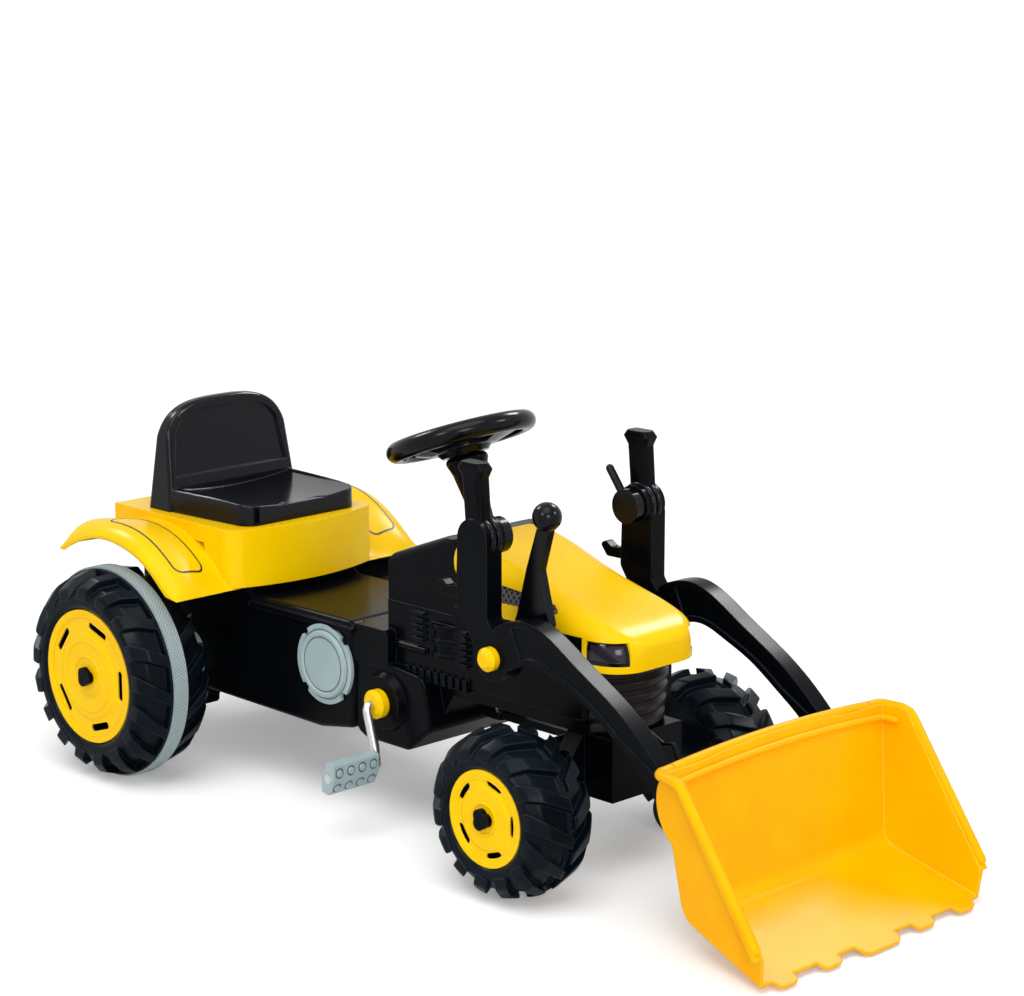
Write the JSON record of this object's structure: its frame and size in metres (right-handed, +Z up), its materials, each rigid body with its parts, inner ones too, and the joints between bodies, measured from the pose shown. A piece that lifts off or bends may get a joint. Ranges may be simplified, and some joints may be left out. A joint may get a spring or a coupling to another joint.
{
  "type": "ride on tractor toy",
  "caption": "Ride-on pedal tractor with chunky lugged wheels, steerable front axle, chain drive, seat, rear hitch and a front loader whose bucket tilts by a ball lever.",
  "frame": {"origin": "middle of the bounding box on the floor, between the hitch and the bucket's teeth", "axes": "+X forward to the bucket, +Y to the driver's left, +Z up"},
  "size_m": [1.2544, 0.5218, 0.514],
  "materials": {
    "yellow_plastic": "gloss",
    "black_plastic": "satin",
    "grey_plastic": "satin",
    "tyre_plastic": "satin",
    "steel": "satin",
    "red_plastic": "gloss",
    "orange_plastic": "gloss",
    "seat_plastic": "satin",
    "band_rubber": "matt",
    "lamp_plastic": "satin"
  },
  "bodies": {
    "chassis": {"body_shell": "black_plastic", "engine_block": "black_plastic", "front_axle_beam": "black_plastic", "bonnet": "yellow_plastic", "grille": "black_plastic", "dash_console": "black_plastic", "instrument_plate": "grey_plastic", "vent_panels": "black_plastic", "headlights": "lamp_plastic", "mudguard": "yellow_plastic", "rear_lights": "orange_plastic", "side_covers": "grey_plastic", "axle_cones": "grey_plastic", "crank_bosses": "black_plastic", "hitch_bracket": "black_plastic", "steering_column": "black_plastic", "loader_shaft": "steel", "loader_knobs": "yellow_plastic", "pivot_spacers": "black_plastic", "drive_chain": "steel"},
    "seat": {"seat": "seat_plastic", "seat_bolts": "steel"},
    "hitch_pin": {"hitch_pin": "red_plastic"},
    "rear_axle": {"rear_axle": "steel", "rear_sprocket": "steel", "rear_tyre_right": "tyre_plastic", "rear_band_right": "band_rubber", "rear_hub_right": "yellow_plastic", "rear_axle_caps": "black_plastic"},
    "rear_wheel_left": {"rear_tyre_left": "tyre_plastic", "rear_band_left": "band_rubber", "rear_hub_left": "yellow_plastic"},
    "crank": {"crank_shaft": "steel", "crank_sprocket": "steel", "crank_hubs": "yellow_plastic"},
    "pedal_left": {"pedal_left": "grey_plastic"},
    "pedal_right": {"pedal_right": "grey_plastic"},
    "steering": {"steering_wheel": "black_plastic", "steering_shaft": "steel"},
    "horn": {"horn_button": "yellow_plastic"},
    "knuckle_left": {"stub_axle_left": "steel", "front_cap_left": "black_plastic"},
    "knuckle_right": {"stub_axle_right": "steel", "front_cap_right": "black_plastic"},
    "tie_rod": {"tie_rod": "black_plastic"},
    "front_wheel_left": {"front_tyre_left": "tyre_plastic", "front_hub_left": "yellow_plastic"},
    "front_wheel_right": {"front_tyre_right": "tyre_plastic", "front_hub_right": "yellow_plastic"},
    "loader": {"loader_arm_left": "black_plastic", "loader_arm_right": "black_plastic", "cross_tube": "steel"},
    "stick_left": {"stick_left": "black_plastic"},
    "stick_right": {"stick_right": "black_plastic"},
    "tilt_lever": {"tilt_lever": "black_plastic", "lever_ball": "black_plastic"},
    "tilt_link": {"tilt_link": "black_plastic"},
    "bucket": {"bucket": "yellow_plastic"}
  },
  "joints": [
    {"name": "rear_axle_spin", "type": "hinge", "parent": "chassis", "child": "rear_axle", "pos_m": [-0.458, 0, 0.137], "axis": [0, 1, 0], "continuous": true},
    {"name": "rear_wheel_left_spin", "type": "hinge", "parent": "rear_axle", "child": "rear_wheel_left", "pos_m": [-0.458, 0, 0.137], "axis": [0, 1, 0], "continuous": true},
    {"name": "crank_spin", "type": "hinge", "parent": "chassis", "child": "crank", "pos_m": [-0.072, 0, 0.151], "axis": [0, 1, 0], "continuous": true, "deforming": ["drive_chain"]},
    {"name": "pedal_left_spin", "type": "hinge", "parent": "crank", "child": "pedal_left", "pos_m": [-0.092, 0.164, 0.22], "axis": [0, 1, 0], "continuous": true},
    {"name": "pedal_right_spin", "type": "hinge", "parent": "crank", "child": "pedal_right", "pos_m": [-0.052, -0.164, 0.082], "axis": [0, 1, 0], "continuous": true},
    {"name": "steering", "type": "hinge", "parent": "chassis", "child": "steering", "pos_m": [-0.03, 0, 0.473], "axis": [-0.3584, 0, 0.9336], "range_deg": [-20, 20]},
    {"name": "horn_press", "type": "slide", "parent": "steering", "child": "horn", "axis": [0.3584, 0, -0.9336], "range_m": [0, 0.003], "stiffness_N_per_m": 400, "springref_m": -0.002},
    {"name": "knuckle_left", "type": "hinge", "parent": "chassis", "child": "knuckle_left", "pos_m": [0.222, 0.096, 0.1], "axis": [0, 0, 1], "range_deg": [-20, 20]},
    {"name": "knuckle_right", "type": "hinge", "parent": "chassis", "child": "knuckle_right", "pos_m": [0.222, -0.096, 0.1], "axis": [0, 0, 1], "range_deg": [-20, 20]},
    {"name": "tie_rod_pivot", "type": "hinge", "parent": "knuckle_right", "child": "tie_rod", "pos_m": [0.162, -0.096, 0.14], "axis": [0, 0, 1], "range_deg": [-20, 20]},
    {"name": "front_wheel_left_spin", "type": "hinge", "parent": "knuckle_left", "child": "front_wheel_left", "pos_m": [0.222, 0.16, 0.1], "axis": [0, 1, 0], "continuous": true},
    {"name": "front_wheel_right_spin", "type": "hinge", "parent": "knuckle_right", "child": "front_wheel_right", "pos_m": [0.222, -0.16, 0.1], "axis": [0, 1, 0], "continuous": true},
    {"name": "loader_lift", "type": "hinge", "parent": "chassis", "child": "loader", "pos_m": [0.176, 0, 0.266], "axis": [0, -1, 0], "range_deg": [0, 70]},
    {"name": "bucket_tilt", "type": "hinge", "parent": "loader", "child": "bucket", "pos_m": [0.447, 0, 0.149], "axis": [0, -1, 0], "range_deg": [-40, 10]},
    {"name": "tilt_lever_swing", "type": "hinge", "parent": "loader", "child": "tilt_lever", "pos_m": [0.176, -0.105, 0.266], "axis": [0, -1, 0], "range_deg": [-40, 10]},
    {"name": "tilt_link_swing", "type": "hinge", "parent": "tilt_lever", "child": "tilt_link", "pos_m": [0.191, -0.114, 0.302], "axis": [0, -1, 0], "range_deg": [-10, 40]},
    {"name": "stick_left_swing", "type": "hinge", "parent": "loader", "child": "stick_left", "pos_m": [0.144, 0.11, 0.398], "axis": [0, 1, 0], "range_deg": [-20, 45]},
    {"name": "stick_right_swing", "type": "hinge", "parent": "loader", "child": "stick_right", "pos_m": [0.144, -0.11, 0.398], "axis": [0, 1, 0], "range_deg": [-20, 45]},
    {"name": "seat_slide", "type": "slide", "parent": "chassis", "child": "seat", "axis": [1, 0, 0], "range_m": [0, 0.03]},
    {"name": "hitch_pin_pull", "type": "slide", "parent": "chassis", "child": "hitch_pin", "axis": [0, 0, 1], "range_m": [0, 0.1]}
  ],
  "couplings": [
    {"joint": "crank_spin", "follows": "rear_axle_spin", "ratio": 0.75},
    {"joint": "knuckle_left", "follows": "steering", "ratio": 1},
    {"joint": "knuckle_right", "follows": "steering", "ratio": 1},
    {"joint": "tie_rod_pivot", "follows": "steering", "ratio": -1},
    {"joint": "tilt_lever_swing", "follows": "bucket_tilt", "ratio": 1},
    {"joint": "tilt_link_swing", "follows": "bucket_tilt", "ratio": -1}
  ]
}
